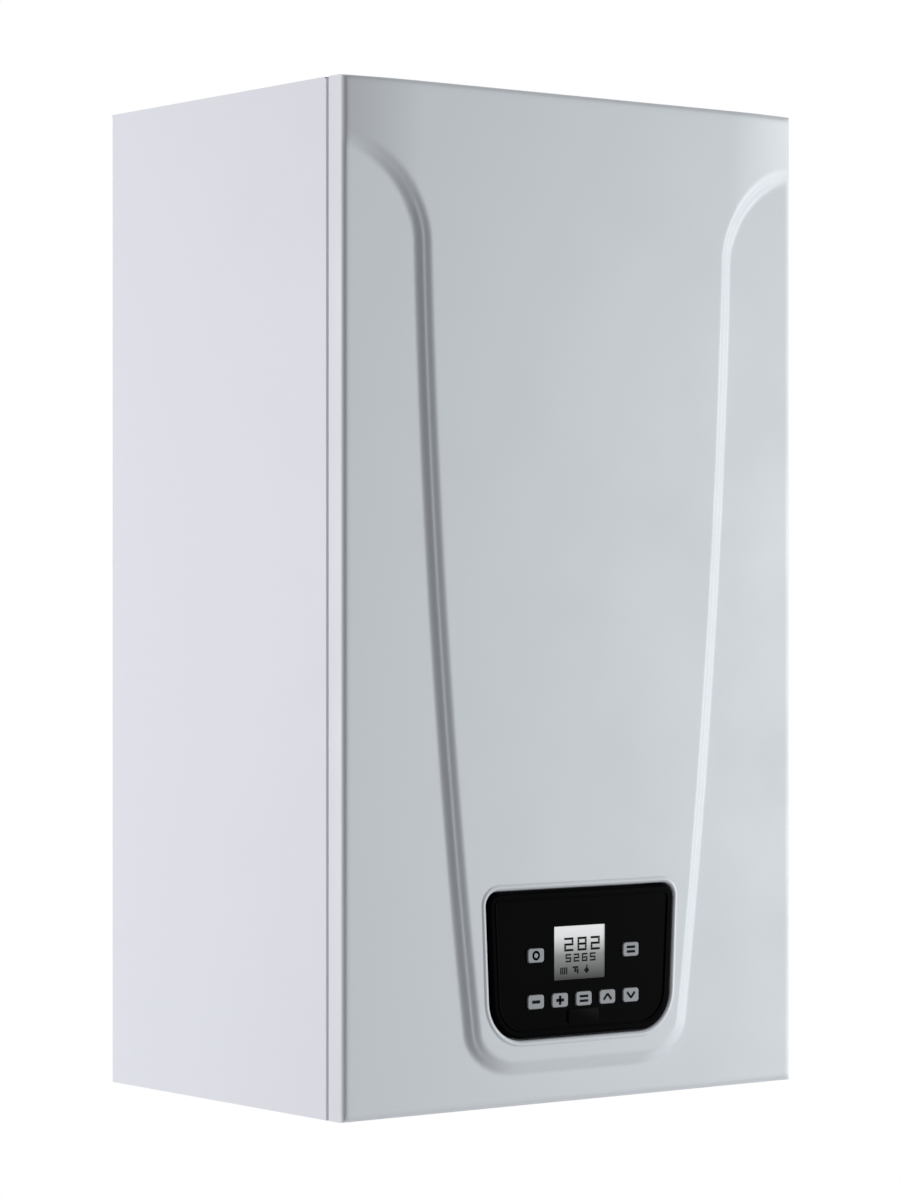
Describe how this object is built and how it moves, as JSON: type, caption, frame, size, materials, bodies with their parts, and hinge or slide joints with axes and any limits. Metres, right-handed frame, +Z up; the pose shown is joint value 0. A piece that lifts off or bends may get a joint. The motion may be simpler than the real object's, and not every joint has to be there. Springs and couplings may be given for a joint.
{
  "type": "wall-hung heating boiler",
  "caption": "Wall-hung gas heating boiler: white sheet casing, front cover with a raised shield, black control panel with display and buttons, flue on top and pipe unions below.",
  "frame": {"origin": "on the wall plane, midway between the two hanging holes", "axes": "+X to the right as seen from the front, +Y back into the wall, +Z up"},
  "size_m": [0.4, 0.299, 0.712],
  "materials": {
    "casing_paint": "satin white powder coat",
    "galvanised": "galvanised sheet",
    "fascia_black": "gloss black",
    "lcd_glass": "clear",
    "lcd_face": "satin",
    "button_grey": "satin",
    "board_green": "solder mask",
    "control_plastic": "moulded",
    "flue_plastic": "moulded",
    "trap_plastic": "moulded",
    "brass": "turned",
    "group_composite": "glass-filled moulding",
    "stainless": "brushed",
    "pump_can": "cast",
    "rotor": "moulded",
    "vessel_red": "satin",
    "cast_aluminium": "cast",
    "zinc": "zinc plate",
    "motor_black": "moulded",
    "copper": "drawn copper",
    "stem_steel": "turned",
    "knob_red": "moulded",
    "knob_blue": "moulded"
  },
  "bodies": {
    "chassis": {"side_panel_left": "casing_paint", "side_panel_right": "casing_paint", "top_panel": "casing_paint", "hanging_rail": "galvanised", "lower_rail": "galvanised", "back_plate": "galvanised", "base_panel": "galvanised", "exchanger_bracket": "galvanised", "hinge_brackets": "galvanised", "flue_duct": "flue_plastic", "air_collar": "flue_plastic", "condensate_trap": "trap_plastic", "condensate_pipe": "trap_plastic", "flow_fitting": "brass", "hot_water_fitting": "brass", "gas_fitting": "brass", "cold_water_fitting": "brass", "return_fitting": "brass", "safety_valve": "brass", "filling_tap": "brass", "flow_group": "group_composite", "return_group": "group_composite", "pump_volute": "group_composite", "plate_heat_exchanger": "stainless", "heat_exchanger": "stainless", "vessel_pipe": "stainless", "pump_motor": "pump_can", "expansion_vessel": "vessel_red", "burner_door": "cast_aluminium", "mixing_manifold": "cast_aluminium", "fan_housing": "cast_aluminium", "venturi": "cast_aluminium", "gas_valve": "cast_aluminium", "door_nuts": "zinc", "fan_motor": "motor_black", "diverter_motor": "motor_black", "cable_gland": "motor_black", "gas_pipe": "copper", "feed_pipe": "copper", "flow_pipe": "copper", "return_pipe": "copper"},
    "cover": {"front_cover": "casing_paint"},
    "controls": {"control_box": "control_plastic", "control_lid": "control_plastic", "control_fascia": "fascia_black", "lcd_window": "lcd_glass", "lcd_module": "lcd_face", "display_board": "board_green"},
    "fan_wheel": {"fan_impeller": "rotor"},
    "pump_wheel": {"pump_rotor": "rotor"},
    "diverter_rod": {"diverter_stem": "stem_steel"},
    "safety_handle": {"safety_knob": "knob_red"},
    "filling_handle": {"filling_knob": "knob_blue"},
    "button_left_key": {"button_left": "button_grey"},
    "button_right_key": {"button_right": "button_grey"},
    "button_row_1_key": {"button_row_1": "button_grey"},
    "button_row_2_key": {"button_row_2": "button_grey"},
    "button_row_3_key": {"button_row_3": "button_grey"},
    "button_row_4_key": {"button_row_4": "button_grey"},
    "button_row_5_key": {"button_row_5": "button_grey"}
  },
  "joints": [
    {"name": "cover_slide", "type": "slide", "parent": "chassis", "child": "cover", "axis": [0, -1, 0], "range_m": [0, 0.35]},
    {"name": "controls_hinge", "type": "hinge", "parent": "chassis", "child": "controls", "pos_m": [0, -0.28, -0.588], "axis": [1, 0, 0], "range_deg": [0, 80.3]},
    {"name": "fan_spin", "type": "hinge", "parent": "chassis", "child": "fan_wheel", "pos_m": [0.04, -0.235, -0.315], "axis": [0, -1, 0], "continuous": true},
    {"name": "pump_spin", "type": "hinge", "parent": "chassis", "child": "pump_wheel", "pos_m": [0.12, -0.12, -0.53], "axis": [0, -1, 0], "continuous": true},
    {"name": "diverter_slide", "type": "slide", "parent": "chassis", "child": "diverter_rod", "axis": [0, -1, 0], "range_m": [0, 0.007]},
    {"name": "safety_turn", "type": "hinge", "parent": "chassis", "child": "safety_handle", "pos_m": [-0.13, -0.13, -0.53], "axis": [0, -1, 0], "range_deg": [0, 90]},
    {"name": "filling_turn", "type": "hinge", "parent": "chassis", "child": "filling_handle", "pos_m": [0.097, -0.075, -0.62], "axis": [0, 0, 1], "range_deg": [0, 90]},
    {"name": "button_left_press", "type": "slide", "parent": "controls", "child": "button_left_key", "axis": [0, 1, 0], "range_m": [0, 0.0008], "stiffness_N_per_m": 1500},
    {"name": "button_right_press", "type": "slide", "parent": "controls", "child": "button_right_key", "axis": [0, 1, 0], "range_m": [0, 0.0008], "stiffness_N_per_m": 1500},
    {"name": "button_row_1_press", "type": "slide", "parent": "controls", "child": "button_row_1_key", "axis": [0, 1, 0], "range_m": [0, 0.0008], "stiffness_N_per_m": 1500},
    {"name": "button_row_2_press", "type": "slide", "parent": "controls", "child": "button_row_2_key", "axis": [0, 1, 0], "range_m": [0, 0.0008], "stiffness_N_per_m": 1500},
    {"name": "button_row_3_press", "type": "slide", "parent": "controls", "child": "button_row_3_key", "axis": [0, 1, 0], "range_m": [0, 0.0008], "stiffness_N_per_m": 1500},
    {"name": "button_row_4_press", "type": "slide", "parent": "controls", "child": "button_row_4_key", "axis": [0, 1, 0], "range_m": [0, 0.0008], "stiffness_N_per_m": 1500},
    {"name": "button_row_5_press", "type": "slide", "parent": "controls", "child": "button_row_5_key", "axis": [0, 1, 0], "range_m": [0, 0.0008], "stiffness_N_per_m": 1500}
  ],
  "couplings": [
    {"joint": "controls_hinge", "follows": "cover_slide", "rad_per_m": 4}
  ]
}
